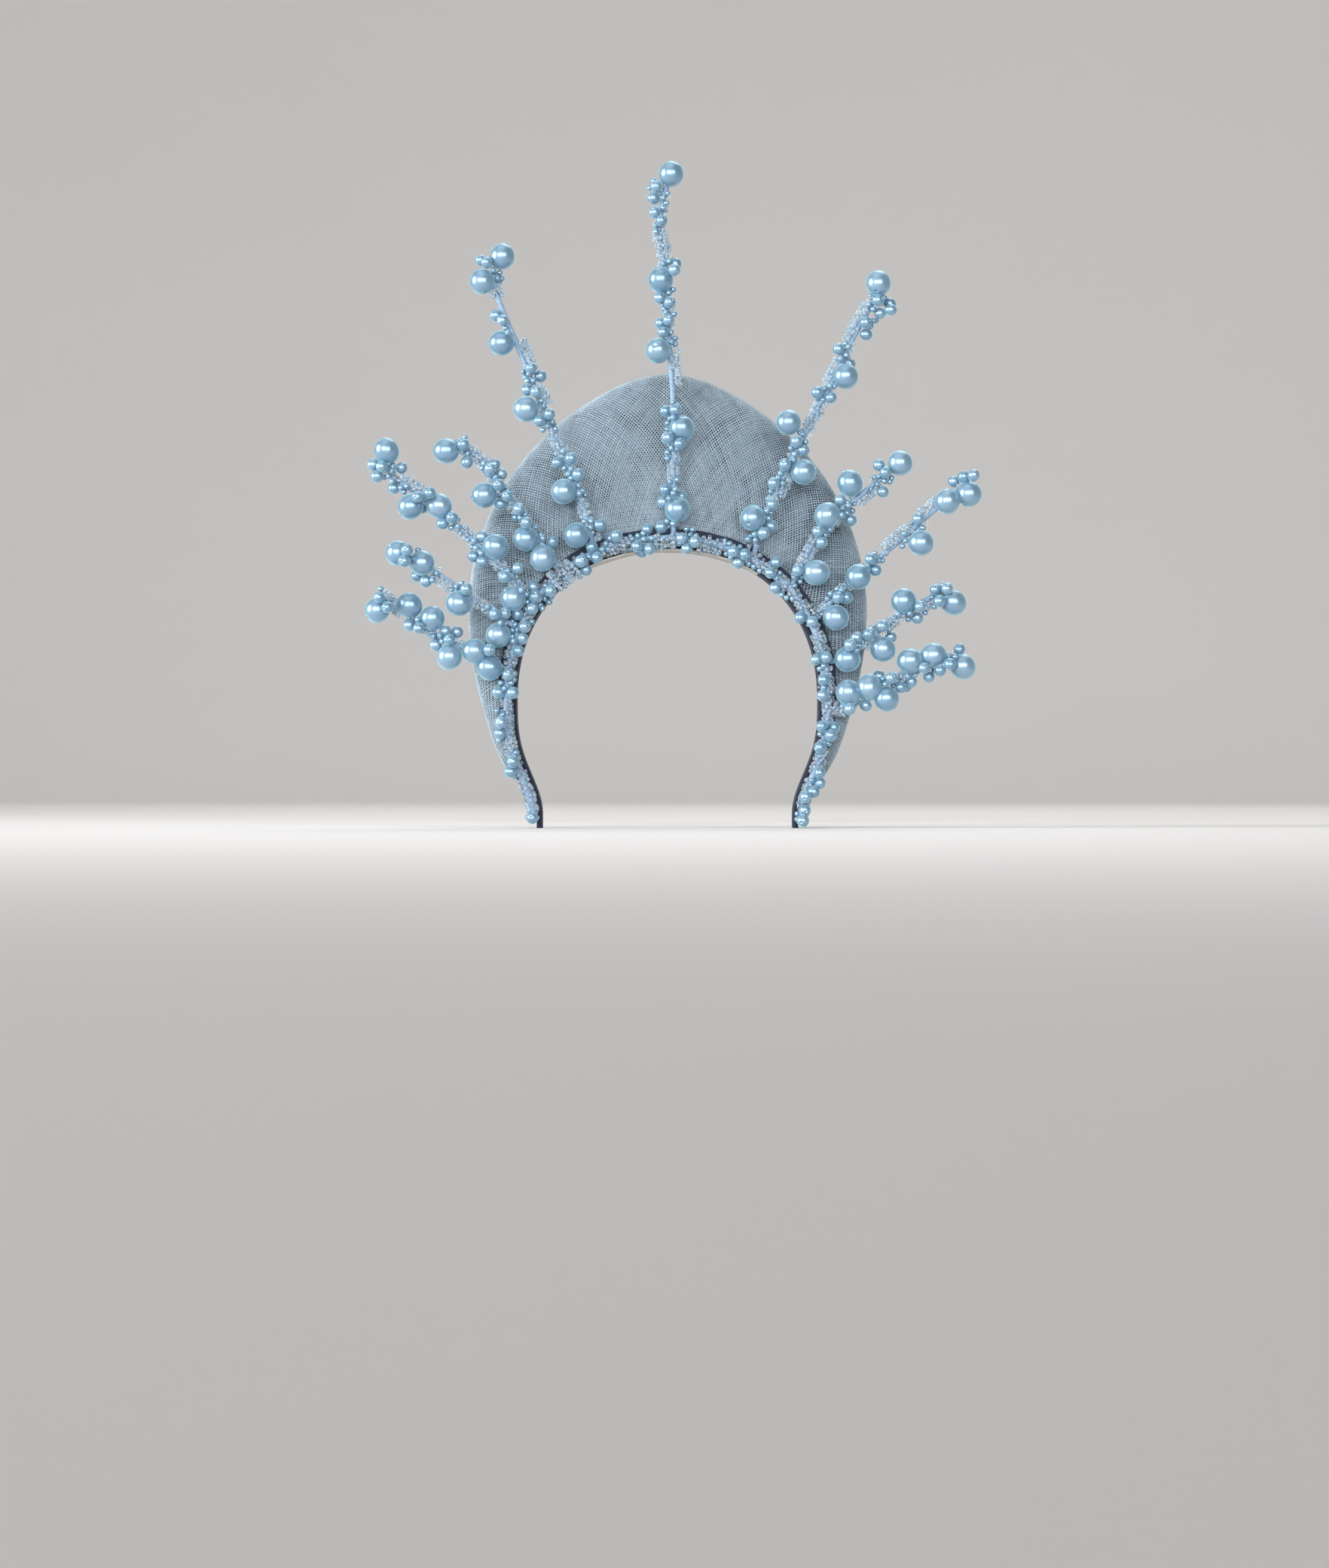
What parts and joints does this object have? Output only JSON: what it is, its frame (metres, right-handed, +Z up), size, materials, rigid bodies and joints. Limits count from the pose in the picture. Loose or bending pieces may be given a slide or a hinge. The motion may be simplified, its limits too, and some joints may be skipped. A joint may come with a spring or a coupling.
{
  "type": "sinamay tiara headpiece",
  "caption": "Worn headpiece: a hollow sinamay halo crown on a ribbon-covered head band, with a beaded wire tiara of radiating pearl spines in front",
  "frame": {"origin": "on the surface that the headpiece stands on, under the middle of its bounding box", "axes": "+Z up, +X to the viewer's right as seen from the front, +Y to the back of the head"},
  "size_m": [0.3098, 0.101, 0.3371],
  "materials": {
    "sinamay": "matte",
    "navy_ribbon": "matte",
    "ivory_strip": "matte",
    "pearls_on_taped_wire": "gloss"
  },
  "bodies": {
    "root": {"crown_shell": "sinamay", "front_binding": "navy_ribbon", "head_band": "navy_ribbon", "inner_strip": "ivory_strip", "base_wire": "pearls_on_taped_wire", "spine_centre": "pearls_on_taped_wire", "spine_left_1": "pearls_on_taped_wire", "spine_left_2": "pearls_on_taped_wire", "spine_left_3": "pearls_on_taped_wire", "spine_left_4": "pearls_on_taped_wire", "spine_left_5": "pearls_on_taped_wire", "spine_right_1": "pearls_on_taped_wire", "spine_right_2": "pearls_on_taped_wire", "spine_right_3": "pearls_on_taped_wire", "spine_right_4": "pearls_on_taped_wire", "spine_right_5": "pearls_on_taped_wire"}
  },
  "joints": []
}
